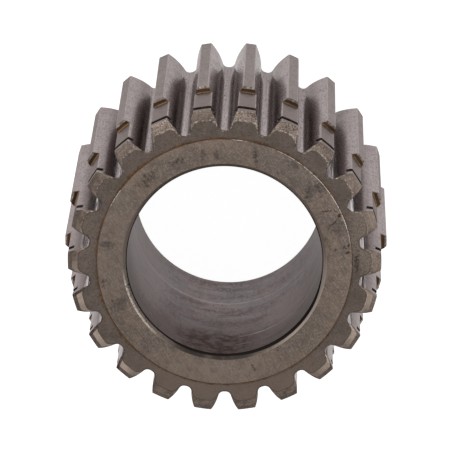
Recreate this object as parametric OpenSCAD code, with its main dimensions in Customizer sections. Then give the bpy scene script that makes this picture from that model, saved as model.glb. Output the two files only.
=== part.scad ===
// Sun gear of a planetary gear set, cut in one piece from a turned steel blank.
// It stands on its plain back end, with the bore's axis along Z.
// The origin is the centre of the bore on the back face.
// At the front end, which is the top, the tooth tips are stepped down and carry a groove
// for a retaining ring, and a raised ring face surrounds the bore.

/* [Teeth] */
// Number of teeth
teeth = 22; // [20:1:30]
// Module, the pitch diameter divided by the number of teeth
tooth_module = 4; // [3.6:0.1:5]
// Pressure angle in degrees
pressure_angle = 20; // [19:0.5:23]
// Profile shift in modules, which thickens the teeth
profile_shift = 0.43; // [0.3:0.01:0.5]
// Height of the teeth above the shifted pitch line, in modules
addendum = 0.785; // [0.6:0.005:0.85]
// Depth of the tooth spaces below the shifted pitch line, in modules
dedendum = 1.21; // [1.1:0.01:1.25]
// Radius of the fillet between each flank and the floor of its tooth space
root_fillet = 1.7; // [0.8:0.1:1.8]
// Edge break along the tooth outline at both ends
outline_break = 0.45; // [0.2:0.05:0.7]

/* [Body] */
// Length from the back face to the ring face
body_length = 76.8; // [55:0.1:100]
// Wall between the plain bore and the floors of the tooth spaces
rim_wall = 11.53; // [8:0.01:18]
// Depth of the chamfer at the front of the bore, along the axis
bore_chamfer_h = 2.1; // [0.5:0.1:3]
// Angle between that chamfer and the axis, in degrees
bore_chamfer_angle = 30; // [20:1:45]
// Bevel at the back of the bore
bore_back_bevel = 0.5; // [0.2:0.1:1.5]
// Bevel on the tooth tips at the back end
back_tip_bevel = 0.5; // [0.2:0.1:1]

/* [Ring face] */
// Distance from the floors of the tooth spaces in to the edge of the ring face
ring_face_inset = 2.6; // [1:0.1:4]
// Height of the ring face above the ends of the teeth
ring_face_rise = 0.6; // [0.3:0.1:2]
// Bevel on the outer edge of the ring face
ring_face_bevel = 0.2; // [0.1:0.05:0.3]

/* [Stepped end] */
// Length of the stepped-down tooth tips, from the ring face to the shoulder
step_length = 22.7; // [15:0.1:30]
// How far the stepped-down tips lie below the full tips
step_depth = 1.85; // [1:0.05:2.5]
// Bevel on the upper edge of the shoulder
shoulder_bevel = 0.6; // [0.2:0.1:0.9]
// Fillet in the corner at the foot of the shoulder
shoulder_fillet = 0.3; // [0.1:0.05:0.4]
// Chamfer on the front of the tooth tips, along the radius
tip_chamfer_r = 3; // [1:0.1:4]
// Chamfer on the front of the tooth tips, along the axis
tip_chamfer_h = 0.95; // [0.5:0.05:1.5]

/* [Ring groove] */
// Width of the lip between the tip chamfer and the groove
groove_lip = 2.15; // [1.5:0.05:5]
// Width of the groove
groove_w = 2.65; // [1.5:0.05:4]
// Depth of the groove below the stepped-down tips
groove_depth = 1.6; // [0.8:0.1:2]

/* [Hidden] */
$fn = 96;

// Points along each flank, and steps in each root fillet and in the shoulder's fillet
FLANK_POINTS = 8;
FILLET_STEPS = 4;
CORNER_STEPS = 3;
// How far the cutters run past the ends, past a broken edge and past the tooth tips
END_OVERRUN = 1;
BREAK_OVERRUN = 0.2;
TIP_OVERRUN = 0.8;

steel = "#8d8583";

pitch_r = tooth_module * teeth / 2;
base_r = pitch_r * cos(pressure_angle);
tip_r = pitch_r + tooth_module * (addendum + profile_shift);
root_r = pitch_r - tooth_module * (dedendum - profile_shift);
cutter_r = tip_r + TIP_OVERRUN;
step_r = tip_r - step_depth;
groove_r = step_r - groove_depth;
bore_r = root_r - rim_wall;
bore_mouth_r = bore_r + bore_chamfer_h * tan(bore_chamfer_angle);
ring_face_r = root_r - ring_face_inset;

// Heights above the back face
tooth_face_z = body_length - ring_face_rise;
shoulder_z = body_length - step_length;
groove_top_z = tooth_face_z - tip_chamfer_h - groove_lip;
groove_floor_z = groove_top_z - groove_w;

// Angle in degrees of an arc of the base circle
function base_arc(length) = length / base_r * 180 / PI;

// A point at radius r, at an angle clockwise from the middle of a tooth space, which lies on +Y
function polar(r, angle) = [r * sin(angle), r * cos(angle)];

// Each flank is an involute: the end of a line unwound from the base circle.
// Half the angle of a tooth where its flanks start on the base circle:
half_tooth_at_base = 90 / teeth
    + 2 * profile_shift * tan(pressure_angle) / teeth * 180 / PI
    + tan(pressure_angle) * 180 / PI - pressure_angle;
half_space_at_base = 180 / teeth - half_tooth_at_base;

// Length of the unwound line out to radius r
function unwound(r) = sqrt(max(r * r - base_r * base_r, 0));

// The flank point of an unwound length, set back into the tooth by an amount.
// The line is square to the flank, so setting back shortens it.
function flank_point(length, set_back) =
    let (
        shorter = max(length - set_back, 0),
        touch_angle = half_space_at_base + base_arc(shorter + set_back)
    )
    polar(sqrt(base_r * base_r + shorter * shorter), touch_angle - atan(shorter / base_r));

// Angle of the centre of a root fillet of radius f, from the middle of its tooth space.
// At 0 the two fillets of a space meet and its floor is fully round.
function fillet_angle(f) =
    let (line = max(unwound(root_r + f), f))
    half_space_at_base + base_arc(line - f) - atan(line / base_r);

// Largest fillet that the tooth space holds, by halving the range that it lies in
function full_round(low, high, turns) =
    turns == 0 ? low :
    let (middle = (low + high) / 2)
    fillet_angle(middle) > 0
        ? full_round(middle, high, turns - 1)
        : full_round(low, middle, turns - 1);

fillet_r = min(root_fillet, full_round(0, tooth_module, 24) * 0.98);
fillet_line = max(unwound(root_r + fillet_r), fillet_r);
fillet_centre = polar(sqrt(base_r * base_r + fillet_line * fillet_line), fillet_angle(fillet_r));
// Directions from the fillet's centre to the floor and to the flank
to_floor = 180 + fillet_angle(fillet_r);
to_flank = 90 + half_space_at_base + base_arc(fillet_line - fillet_r);

// One side of a tooth space, from its floor to past the tips, set back into the tooth
function space_side(set_back) = concat(
    [for (i = [0:FILLET_STEPS - 1])
        fillet_centre
        + polar(fillet_r + set_back, to_floor + (to_flank - to_floor) * i / FILLET_STEPS)],
    [for (i = [0:FLANK_POINTS - 1])
        let (start = fillet_line - fillet_r)
        flank_point(start + (unwound(cutter_r) - start) * i / (FLANK_POINTS - 1), set_back)]
);

// The whole outline of a tooth space, the same on both sides of +Y
function space_outline(set_back) =
    let (right = space_side(set_back))
    concat(right, [for (i = [len(right) - 1:-1:0]) [-right[i][0], right[i][1]]]);

// The shoulder's fillet, from the shoulder down to the stepped-down tips
function shoulder_corner() = [
    for (i = [0:CORNER_STEPS])
        let (turn = 90 * i / CORNER_STEPS)
        [
            step_r + shoulder_fillet * (1 - sin(turn)),
            shoulder_z + shoulder_fillet * (1 - cos(turn))
        ]
];

// The blank as it comes off the lathe, before the teeth are cut
module turned_blank() {
    rotate_extrude()
        polygon(concat(
            [
                [bore_r + bore_back_bevel, 0],
                [tip_r - back_tip_bevel, 0],
                [tip_r, back_tip_bevel],
                [tip_r, shoulder_z - shoulder_bevel],
                [tip_r - shoulder_bevel, shoulder_z]
            ],
            shoulder_corner(),
            [
                [step_r, groove_floor_z],
                [groove_r, groove_floor_z],
                [groove_r, groove_top_z],
                [step_r, groove_top_z],
                [step_r, tooth_face_z - tip_chamfer_h],
                [step_r - tip_chamfer_r, tooth_face_z],
                [ring_face_r, tooth_face_z],
                [ring_face_r, body_length - ring_face_bevel],
                [ring_face_r - ring_face_bevel, body_length],
                [bore_mouth_r, body_length],
                [bore_r, body_length - bore_chamfer_h],
                [bore_r, bore_back_bevel]
            ]
        ));
}

// The cutter of one tooth space, straight through from end to end
module tooth_space() {
    translate([0, 0, -END_OVERRUN])
        linear_extrude(body_length + 2 * END_OVERRUN)
            polygon(space_outline(0));
}

// The cutter that breaks the edge of one tooth space, widening upwards at 45 degrees from z = 0
module space_flare() {
    rise = outline_break + BREAK_OVERRUN;
    low = space_outline(0);
    high = space_outline(rise);
    count = len(low);
    // Each end is closed by strips from the right side of the space to the left,
    // whose last corners are counted back from the end of the outline
    strips = [for (i = [0:count / 2 - 2]) [i, i + 1, count - 2 - i, count - 1 - i]];
    polyhedron(
        points = concat(
            [for (p = low) [p[0], p[1], 0]],
            [for (p = high) [p[0], p[1], rise]]
        ),
        faces = concat(
            strips,
            [for (i = [0:count - 1])
                let (next = (i + 1) % count)
                [i, i + count, next + count, next]],
            [for (strip = strips) [strip[3], strip[2], strip[1], strip[0]] + count * [1, 1, 1, 1]]
        )
    );
}

module sun_gear() {
    color(steel)
        difference() {
            turned_blank();
            for (i = [0:teeth - 1])
                rotate([0, 0, i * 360 / teeth]) {
                    tooth_space();
                    translate([0, 0, tooth_face_z - outline_break])
                        space_flare();
                    translate([0, 0, outline_break])
                        mirror([0, 0, 1])
                            space_flare();
                }
        }
}

sun_gear();
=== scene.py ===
# %% [markdown]
# # A sun gear in ground steel
#
# A sun gear sits in the middle of a planetary gear set and drives the planet gears round it. This one
# is a single piece of steel: turned on a lathe, cut with straight teeth, hardened, and ground on its
# flanks, its tooth tips, its bore and the raised ring round the bore. Years in oil have left brown
# stains, a little rust in one corner, and edges that are worn bright. Some light and shade is painted
# into the colours too: highlights on edges and chamfers, and shade in the groove and the tooth spaces.
#
# The lesson makes one tooth as a grid of points, lets Geometry Nodes repeat it round the axis, and then
# gives each machined surface a procedural finish of its own.

# %% Load the fixed frame
from math import atan, cos, hypot, pi, radians, sin, sqrt, tan

import bpy
from mathutils import Matrix, Vector


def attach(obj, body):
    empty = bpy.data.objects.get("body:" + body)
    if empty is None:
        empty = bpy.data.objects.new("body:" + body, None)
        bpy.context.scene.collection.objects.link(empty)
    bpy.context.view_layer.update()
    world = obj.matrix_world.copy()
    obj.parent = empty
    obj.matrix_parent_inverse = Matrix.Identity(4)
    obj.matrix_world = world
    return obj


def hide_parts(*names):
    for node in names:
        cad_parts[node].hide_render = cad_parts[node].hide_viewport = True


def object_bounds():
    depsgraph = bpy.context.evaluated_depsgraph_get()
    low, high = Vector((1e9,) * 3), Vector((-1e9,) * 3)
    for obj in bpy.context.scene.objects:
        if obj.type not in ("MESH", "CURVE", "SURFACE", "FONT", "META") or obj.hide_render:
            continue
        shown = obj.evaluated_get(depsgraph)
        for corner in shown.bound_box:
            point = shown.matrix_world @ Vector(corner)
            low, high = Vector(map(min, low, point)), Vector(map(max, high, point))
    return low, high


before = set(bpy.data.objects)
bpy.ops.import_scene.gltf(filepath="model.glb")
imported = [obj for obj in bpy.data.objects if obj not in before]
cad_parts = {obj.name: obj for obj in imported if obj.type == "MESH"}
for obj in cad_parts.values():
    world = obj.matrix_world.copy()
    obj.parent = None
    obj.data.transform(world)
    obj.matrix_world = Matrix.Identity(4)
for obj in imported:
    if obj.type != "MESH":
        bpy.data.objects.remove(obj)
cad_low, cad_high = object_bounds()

# %% [markdown]
# ## The sizes
#
# A gear's form follows from a few numbers. The module is the pitch diameter divided by the number of
# teeth. The flanks are involutes: the curve that the end of a taut string draws as it unwinds from the
# base circle. Everything below is in metres, so a size in millimetres is written with MM.

# %% The teeth
MM = 0.001
TEETH = 22
MODULE = 4 * MM
PRESSURE_ANGLE = radians(20)
PROFILE_SHIFT = 0.43
ADDENDUM = 0.785
DEDENDUM = 1.21
ROOT_FILLET = 1.7 * MM

pitch_radius = MODULE * TEETH / 2
base_radius = pitch_radius * cos(PRESSURE_ANGLE)
tip_radius = pitch_radius + MODULE * (ADDENDUM + PROFILE_SHIFT)
root_radius = pitch_radius - MODULE * (DEDENDUM - PROFILE_SHIFT)
sector_half = pi / TEETH
print(f"tip radius {tip_radius / MM:.2f} mm, root radius {root_radius / MM:.2f} mm")

# %% The turned features
body_length = cad_high.z - cad_low.z
rim_wall = 11.53 * MM
bore_chamfer_width = 1.21 * MM
bore_chamfer_height = 2.1 * MM
bore_back_bevel = 0.5 * MM
ring_inset = 2.6 * MM
ring_rise = 0.6 * MM
ring_bevel = 0.2 * MM
ring_softening = 0.3 * ring_bevel
step_length = 22.7 * MM
step_depth = 1.85 * MM
groove_lip = 2.15 * MM
groove_width = 2.65 * MM
groove_depth = 1.6 * MM
tip_bevel = 0.5 * MM
shoulder_bevel = 0.6 * MM
shoulder_fillet = 0.3 * MM
chamfer_width = 3 * MM
chamfer_height = 0.95 * MM
edge_break = 0.45 * MM
tiny_bevel = 0.1 * MM

# %% Radii and heights
bore_radius = root_radius - rim_wall
bore_mouth_radius = bore_radius + bore_chamfer_width
ring_radius = root_radius - ring_inset
step_radius = tip_radius - step_depth
groove_radius = step_radius - groove_depth
face_z = body_length - ring_rise
shoulder_z = body_length - step_length
groove_top_z = face_z - chamfer_height - groove_lip
groove_floor_z = groove_top_z - groove_width
chamfer_radius = step_radius - chamfer_width
print(f"length {body_length / MM:.1f} mm, bore {2 * bore_radius / MM:.1f} mm")

# %% [markdown]
# ## The outline of one tooth
#
# A boolean could cut the teeth out of a turned blank, but it leaves long thin faces that shade badly.
# Here the tooth is a grid instead. Its columns run along the outline, from the floor of the tooth space
# up the flank to the tip, and its rows run along the axis. Each row may have another tip radius, and
# that alone makes the step, the groove and the chamfers.
#
# The tooth lies on +X. Half of its outline is worked out, and the other half is its mirror image.

# %% The involute flank
thicker_by_shift = 2 * PROFILE_SHIFT * tan(PRESSURE_ANGLE) / TEETH
half_tooth_at_base = pi / 2 / TEETH + thicker_by_shift + tan(PRESSURE_ANGLE) - PRESSURE_ANGLE
print(f"the flanks unwind from a circle of {base_radius / MM:.2f} mm radius")


def point_at(radius, angle):
    """A point of the outline, at an angle from the middle of the tooth."""
    return Vector((radius * cos(angle), radius * sin(angle)))


def unwound(radius):
    """Length of the taut string where the involute reaches this radius."""
    return sqrt(max(radius**2 - base_radius**2, 0))


def flank_angle(radius, set_back=0):
    """Angle from the middle of the tooth to its flank. Setting an involute back only turns it."""
    line = unwound(radius)
    return half_tooth_at_base - (line + set_back) / base_radius + atan(line / base_radius)


# %% The fillet at the root
FILLET_COLUMNS = 7

fillet_line = max(unwound(root_radius + ROOT_FILLET), ROOT_FILLET)
touch_angle = half_tooth_at_base - (fillet_line - ROOT_FILLET) / base_radius
fillet_centre_angle = touch_angle + atan(fillet_line / base_radius)
fillet_centre = point_at(hypot(base_radius, fillet_line), fillet_centre_angle)
fillet_to_floor = fillet_centre_angle + pi
fillet_to_flank = touch_angle + pi * 3 / 2
fillet_end_radius = hypot(base_radius, fillet_line - ROOT_FILLET)
print(f"the flanks begin {fillet_end_radius / MM:.2f} mm from the axis")


def fillet_points(set_back):
    """Points from the floor of the space round to where the flank begins."""
    points = []
    for i in range(FILLET_COLUMNS):
        turn = fillet_to_floor + (fillet_to_flank - fillet_to_floor) * i / FILLET_COLUMNS
        points.append(fillet_centre + point_at(ROOT_FILLET + set_back, turn))
    return points


# %% The half outline
LAND_COLUMNS = 5
TIP_CORNER = 0.15 * MM


def spread(start, end, steps):
    """Evenly spaced values from the start, without the end."""
    return [start + (end - start) * i / steps for i in range(steps)]


groove_flank = groove_radius - TIP_CORNER
step_flank = step_radius - TIP_CORNER
# The groove and the step start at radii of their own, so columns have to run there
flank_radii = spread(fillet_end_radius, groove_flank, 7) + spread(groove_flank, step_flank, 3)
flank_radii += spread(step_flank, tip_radius, 3) + [tip_radius]
FLANK_COLUMNS = len(flank_radii)
print(f"{FLANK_COLUMNS} points up each flank")


def bend(start, corner, end, share):
    """A point on the smooth curve that rounds a corner."""
    return start * (1 - share) ** 2 + corner * 2 * share * (1 - share) + end * share**2


def half_outline(tip, set_back=0):
    """Points from the middle of the tooth space, up the flank, to the middle of the tooth tip."""
    low = tip - TIP_CORNER
    land_start = flank_angle(tip, set_back) - TIP_CORNER / tip
    foot = point_at(low, flank_angle(low, set_back))
    corner = point_at(tip, flank_angle(tip, set_back))
    head = point_at(tip, land_start)
    fillet = fillet_points(set_back)
    floor = point_at(fillet[0].length, sector_half)
    flank = [point_at(min(r, low), flank_angle(min(r, low), set_back)) for r in flank_radii]
    land = [point_at(tip, land_start * (1 - i / (LAND_COLUMNS - 1))) for i in range(1, LAND_COLUMNS)]
    return [floor] + fillet + flank + [bend(foot, corner, head, 0.5), head] + land


# %% [markdown]
# ## The worn front edge of a tooth
#
# On the front end, a turned chamfer takes the tip off each tooth, and the edge along the flanks is
# broken by hand. The two run into each other round a soft corner. A Bevel modifier would treat every
# edge alike, so three rows of points hold this form instead. The outer row follows the flanks and the
# tip a little below the face, the inner row lies on the face, and the middle row stands a little
# higher between them, because wear has rounded the chamfer.

# %% Columns and sizes of the worn edge
first_flank = 1 + FILLET_COLUMNS
groove_column = first_flank + flank_radii.index(groove_flank)
step_column = first_flank + flank_radii.index(step_flank)
first_land = first_flank + FLANK_COLUMNS + 1
HALF_COLUMNS = first_land + LAND_COLUMNS

# How far the soft corner reaches along the flank and along the tip
CORNER_REACH = 1.7 * MM
# The bright rim on the face: its width, and how far its outer side drops
RIM_WIDTH = 0.2 * MM
RIM_DROP = 0.03 * MM
# Where the middle row lies between the outer row and the inner one, and how far it stands out
TIP_SHARE = 0.42
TIP_SWELL = 0.12 * MM
# What is left of the broken edge's width at the root
BREAK_AT_ROOT = 0.45

low_flank = [r for r in flank_radii if r < chamfer_radius - CORNER_REACH - RIM_WIDTH]
chamfer_column = first_flank + len(low_flank)
print(f"{HALF_COLUMNS} points along half a tooth, and the chamfer begins at point {chamfer_column}")


def break_at(radius):
    """Width of the broken edge, which is narrower towards the root."""
    share = (radius - root_radius) / (chamfer_radius - root_radius)
    return edge_break * (BREAK_AT_ROOT + (1 - BREAK_AT_ROOT) * min(max(share, 0), 1))


# %% The three rows of the worn edge
def outer_edge():
    """The lower row, as (x, y, z)."""
    row = []
    for point in half_outline(step_radius):
        on_cone = (point.length - chamfer_radius) / chamfer_width * chamfer_height
        row.append((point.x, point.y, face_z - max(on_cone, break_at(point.length))))
    return row


def inner_edge(inwards, depth):
    """The upper row, as (x, y, z), with its corners rounded, moved a little inwards and down."""
    arc_radius = chamfer_radius - inwards
    start_radius = arc_radius - CORNER_REACH
    start = point_at(start_radius, flank_angle(start_radius, break_at(start_radius) + inwards))
    corner_angle = flank_angle(arc_radius, break_at(arc_radius) + inwards)
    arc_start = corner_angle - CORNER_REACH / arc_radius
    fillet = fillet_points(break_at(root_radius) + inwards)
    points = [point_at(fillet[0].length, sector_half)] + fillet
    points += [point_at(r, flank_angle(r, break_at(r) + inwards)) for r in low_flank]
    bend_columns = first_land - len(points)
    corner, end = point_at(arc_radius, corner_angle), point_at(arc_radius, arc_start)
    points += [bend(start, corner, end, i / bend_columns) for i in range(bend_columns)]
    points += [point_at(arc_radius, arc_start * (1 - i / (LAND_COLUMNS - 1))) for i in range(LAND_COLUMNS)]
    return [(p.x, p.y, face_z - depth) for p in points]


def middle_edge():
    """A row between the two, raised a little on the chamfer."""
    row = []
    for i, (low, high) in enumerate(zip(outer_edge(), inner_edge(0, RIM_DROP))):
        x, y, z = (a + (b - a) * TIP_SHARE for a, b in zip(low, high))
        on_chamfer = min(max((i - chamfer_column + 1) / 3, 0), 1)
        row.append((x, y, z + TIP_SWELL * on_chamfer))
    return row


# %% [markdown]
# ## The rows of the grid
#
# The rows go once round the section of the gear: up the outside from the back face, over the step and
# the groove to the front, across the raised ring, down the bore, and back to the start. Each row is
# named with the surface that follows it, because every surface gets its own finish.

# %% Names of the machined surfaces
SURFACES = [
    "flank",
    "tip_edge",
    "land",
    "groove",
    "shoulder",
    "shoulder_bevel",
    "broken_edge",
    "tip_corner",
    "tip_chamfer",
    "worn_and_lit_rim",
    "tooth_face",
    "ring_corner",
    "ring_face",
    "bore_mouth",
    "bore_wall",
    "back_face",
]
print(f"{len(SURFACES)} surfaces")


# %% Rows of the toothed outside
def toothed_row(z, tip, set_back=0):
    return [(p.x, p.y, z) for p in half_outline(tip, set_back)]


def round_row(z, radius):
    """A row without teeth: points on a circle, as many as the outline has."""
    angles = [sector_half * (1 - i / (HALF_COLUMNS - 1)) for i in range(HALF_COLUMNS)]
    return [(*point_at(radius, angle), z) for angle in angles]


rows = [
    ("edge", toothed_row(0, tip_radius - tip_bevel, edge_break)),
    ("flank", toothed_row(tip_bevel, tip_radius)),
    ("shoulder_bevel", toothed_row(shoulder_z - shoulder_bevel, tip_radius)),
    ("shoulder", toothed_row(shoulder_z, tip_radius - shoulder_bevel)),
]
print(f"{len(rows)} rows up to the shoulder")

# %% The fillet at the foot of the shoulder, and the groove
FILLET_STEPS = 4

for i in range(FILLET_STEPS + 1):
    turn = pi / 2 * i / FILLET_STEPS
    rows.append((
        "shoulder" if i < FILLET_STEPS else "flank",
        toothed_row(
            shoulder_z + shoulder_fillet * (1 - cos(turn)),
            step_radius + shoulder_fillet * (1 - sin(turn)),
        ),
    ))

rows += [
    ("groove", toothed_row(groove_floor_z - tiny_bevel, step_radius)),
    ("groove", toothed_row(groove_floor_z, step_radius - tiny_bevel)),
    ("groove", toothed_row(groove_floor_z, groove_radius)),
    ("groove", toothed_row(groove_top_z, groove_radius)),
    ("groove", toothed_row(groove_top_z, step_radius - tiny_bevel)),
    ("flank", toothed_row(groove_top_z + tiny_bevel, step_radius)),
    ("tip_corner", outer_edge()),
    ("tip_chamfer", middle_edge()),
    ("worn_and_lit_rim", inner_edge(0, RIM_DROP)),
    ("tooth_face", inner_edge(RIM_WIDTH, 0)),
]
print(f"{len(rows)} rows up to the ends of the teeth")

# %% The raised ring and the bore
rows += [
    ("ring_corner", round_row(face_z, ring_radius)),
    ("ring_corner", round_row(body_length - ring_bevel, ring_radius)),
    ("ring_corner", round_row(body_length - ring_softening, ring_radius - ring_softening)),
    ("ring_face", round_row(body_length, ring_radius - ring_bevel)),
    ("bore_mouth", round_row(body_length, bore_mouth_radius + tiny_bevel)),
    ("bore_mouth", round_row(body_length - tiny_bevel, bore_mouth_radius)),
    ("bore_wall", round_row(body_length - bore_chamfer_height, bore_radius)),
    ("back_face", round_row(bore_back_bevel, bore_radius)),
    ("back_face", round_row(0, bore_radius + bore_back_bevel)),
    ("end", toothed_row(0, tip_radius - tip_bevel, edge_break)),
]
print(f"{len(rows)} rows of {2 * HALF_COLUMNS - 1} columns")


# %% The surface that a face belongs to
def surface_of(name, column):
    """The surface of a face between two rows, at a column counted along the half outline."""
    if name == "edge":
        return "back_face"
    if name == "groove":
        return "groove" if column >= groove_column else "flank"
    if name in ("shoulder", "shoulder_bevel"):
        return name if column >= step_column else "flank"
    if name == "tip_chamfer":
        return name if column >= chamfer_column else "broken_edge"
    if name == "flank" and column >= first_land - 2:
        return "land" if column >= first_land else "tip_edge"
    return name


# %% The sector as a mesh
def whole_row(half):
    """A half row and its mirror image, from one side of the sector to the other."""
    return half + [(x, -y, z) for x, y, z in reversed(half[:-1])]


KEY_DIGITS = 5


def sector_mesh():
    """One tooth with its share of the ring and the bore. Points that coincide are made one."""
    corners, faces, surfaces = {}, [], []

    def corner(point):
        key = tuple(round(value / MM, KEY_DIGITS) for value in point)
        return corners.setdefault(key, len(corners))

    grid = [[corner(point) for point in whole_row(half)] for _, half in rows]
    width = len(grid[0])
    for i in range(len(rows) - 1):
        for j in range(width - 1):
            loop = [grid[i][j], grid[i + 1][j], grid[i + 1][j + 1], grid[i][j + 1]]
            loop = [v for n, v in enumerate(loop) if v != loop[n - 1]]
            if len(set(loop)) > 2:
                faces.append(loop)
                half_column = min(j, width - 2 - j)
                surfaces.append(SURFACES.index(surface_of(rows[i][0], half_column)))
    mesh = bpy.data.meshes.new("tooth_sector")
    mesh.from_pydata([[value * MM for value in key] for key in corners], [], faces)
    mesh.attributes.new("surface", "INT", "FACE").data.foreach_set("value", surfaces)
    return mesh


tooth_sector = bpy.data.objects.new("tooth_sector", sector_mesh())
bpy.context.scene.collection.objects.link(tooth_sector)
print(f"the sector has {len(tooth_sector.data.polygons)} faces")

# %% [markdown]
# ## Ways to write shader nodes shortly
#
# A material is a tree of nodes. These helpers make a node, feed its inputs with numbers or with the
# outputs of other nodes, and give back the output that is used next.


# %% Node helpers
def feed(tree, socket, value):
    """Sets an input, or links it if the value is another node's output."""
    if isinstance(value, bpy.types.NodeSocket):
        tree.links.new(value, socket)
    elif socket.type == "RGBA":
        socket.default_value = (*value, 1)[:4]
    else:
        socket.default_value = value


def node(tree, kind, inputs, **settings):
    made = tree.nodes.new(kind)
    for name, value in settings.items():
        setattr(made, name, value)
    for name, value in inputs.items():
        feed(tree, made.inputs[name], value)
    return made


def calc(tree, operation, *values, clamp=False):
    """A Math node."""
    inputs = dict(enumerate(values))
    return node(tree, "ShaderNodeMath", inputs, operation=operation, use_clamp=clamp).outputs[0]


# %% Short names for the nodes used most
def times(tree, *values):
    """Multiplies masks and numbers."""
    product = values[0]
    for value in values[1:]:
        product = calc(tree, "MULTIPLY", product, value)
    return product


def scaled(tree, value, gain, base):
    """The value times the gain, plus the base."""
    return calc(tree, "MULTIPLY_ADD", value, gain, base)


def ramp(tree, value, low, high, to_low=0.0, to_high=1.0):
    """Takes a value that runs from low to high, and makes it run smoothly between two others."""
    inputs = {"Value": value, "From Min": low, "From Max": high, "To Min": to_low, "To Max": to_high}
    return node(tree, "ShaderNodeMapRange", inputs, interpolation_type="SMOOTHSTEP").outputs["Result"]


def tint(tree, factor, first, second):
    """Mixes two colours. Inputs 6 and 7 and output 2 are the Mix node's own for colours."""
    made = node(tree, "ShaderNodeMix", {}, data_type="RGBA")
    feed(tree, made.inputs[0], factor)
    feed(tree, made.inputs[6], first)
    feed(tree, made.inputs[7], second)
    return made.outputs[2]


def noise(tree, vector, scale, detail, roughness):
    inputs = {"Vector": vector, "Scale": scale, "Detail": detail, "Roughness": roughness}
    return node(tree, "ShaderNodeTexNoise", inputs).outputs["Fac"]


def combine(tree, x, y, z):
    return node(tree, "ShaderNodeCombineXYZ", {"X": x, "Y": y, "Z": z}).outputs[0]


# %% [markdown]
# ## Effects that several finishes share
#
# Five shader groups hold what more than one surface needs, so that a change in a group reaches every
# finish. The first turns a point into the measures that a machinist would use: its radius, its place
# round the axis and its height. The others make clouds of stain, the fine lines that a tool or a
# grinding wheel leaves, small pits, and a ragged mark at a chosen place.


# %% A group's sockets
def new_group(name, inputs, outputs):
    """A shader group with named inputs (name, kind, value) and outputs (name, kind)."""
    group = bpy.data.node_groups.new(name, "ShaderNodeTree")
    for label, kind, value in inputs:
        socket = group.interface.new_socket(label, in_out="INPUT", socket_type=f"NodeSocket{kind}")
        socket.default_value = value
    for label, kind in outputs:
        group.interface.new_socket(label, in_out="OUTPUT", socket_type=f"NodeSocket{kind}")
    print(f"{name} gives {', '.join(label for label, kind in outputs)}")
    return group, group.nodes.new("NodeGroupInput").outputs, group.nodes.new("NodeGroupOutput").inputs


def use_group(tree, group, inputs):
    made = tree.nodes.new("ShaderNodeGroup")
    made.node_tree = group
    for name, value in inputs.items():
        feed(tree, made.inputs[name], value)
    return made.outputs


# %% Group: measures
measures_group, given, out = new_group(
    "measures",
    [("Point", "Vector", (0, 0, 0))],
    [("Radius", "Float"), ("Around", "Float"), ("Height", "Float")],
)
axes = node(measures_group, "ShaderNodeSeparateXYZ", {"Vector": given["Point"]}).outputs
x_square = times(measures_group, axes["X"], axes["X"])
y_square = times(measures_group, axes["Y"], axes["Y"])
radius = calc(measures_group, "SQRT", calc(measures_group, "ADD", x_square, y_square))
feed(measures_group, out["Radius"], calc(measures_group, "DIVIDE", radius, MM))
feed(measures_group, out["Around"], calc(measures_group, "ARCTAN2", axes["Y"], axes["X"]))
feed(measures_group, out["Height"], calc(measures_group, "DIVIDE", axes["Z"], MM))

# %% Group: stain clouds
stain_group, given, out = new_group(
    "stain_clouds",
    [
        ("Point", "Vector", (0, 0, 0)),
        ("Size", "Float", 5.0),
        ("Amount", "Float", 0.5),
        ("Softness", "Float", 0.15),
    ],
    [("Mask", "Float"), ("Tone", "Float")],
)
cloud_scale = calc(stain_group, "DIVIDE", 1 / MM, given["Size"])
cloud = noise(stain_group, given["Point"], cloud_scale, 6.0, 0.62)
edge = calc(stain_group, "SUBTRACT", 1.0, given["Amount"])
edge_start = calc(stain_group, "SUBTRACT", edge, given["Softness"])
edge_end = calc(stain_group, "ADD", edge, given["Softness"])
feed(stain_group, out["Mask"], ramp(stain_group, cloud, edge_start, edge_end))
feed(stain_group, out["Tone"], cloud)

# %% Group: tool lines
lines_group, given, out = new_group(
    "tool_lines",
    [("Point", "Vector", (0, 0, 0)), ("Spacing", "Float", 0.4), ("Length", "Float", 8.0)],
    [("Height", "Float")],
)
spacing = given["Spacing"]
stretched = node(
    lines_group,
    "ShaderNodeVectorMath",
    {0: given["Point"], 1: combine(lines_group, spacing, spacing, given["Length"])},
    operation="DIVIDE",
).outputs[0]
feed(lines_group, out["Height"], noise(lines_group, stretched, 1.0, 3.0, 0.7))

# %% Group: pits
pits_group, given, out = new_group(
    "pits",
    [("Point", "Vector", (0, 0, 0)), ("Spacing", "Float", 2.0), ("Size", "Float", 0.2)],
    [("Mask", "Float")],
)
pit_scale = calc(pits_group, "DIVIDE", 1 / MM, given["Spacing"])
cells = node(pits_group, "ShaderNodeTexVoronoi", {"Vector": given["Point"], "Scale": pit_scale})
outside = ramp(pits_group, cells.outputs["Distance"], 0.0, given["Size"])
feed(pits_group, out["Mask"], calc(pits_group, "SUBTRACT", 1.0, outside))

# %% Group: a mark at a chosen place
mark_group, given, out = new_group(
    "mark",
    [
        ("Point", "Vector", (0, 0, 0)),
        ("Place", "Vector", (0, 0, 0)),
        ("Size", "Vector", (1, 1, 1)),
        ("Turn", "Float", 0.0),
        ("Ragged", "Float", 1.0),
    ],
    [("Mask", "Float")],
)
from_place = node(
    mark_group, "ShaderNodeVectorMath", {0: given["Point"], 1: given["Place"]}, operation="SUBTRACT"
).outputs[0]
turned_back = node(
    mark_group,
    "ShaderNodeVectorRotate",
    {"Vector": from_place, "Angle": calc(mark_group, "MULTIPLY", given["Turn"], -1.0)},
    rotation_type="Z_AXIS",
).outputs[0]
in_sizes = node(
    mark_group, "ShaderNodeVectorMath", {0: turned_back, 1: given["Size"]}, operation="DIVIDE"
).outputs[0]
reach = node(mark_group, "ShaderNodeVectorMath", {0: in_sizes}, operation="LENGTH").outputs["Value"]
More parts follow.
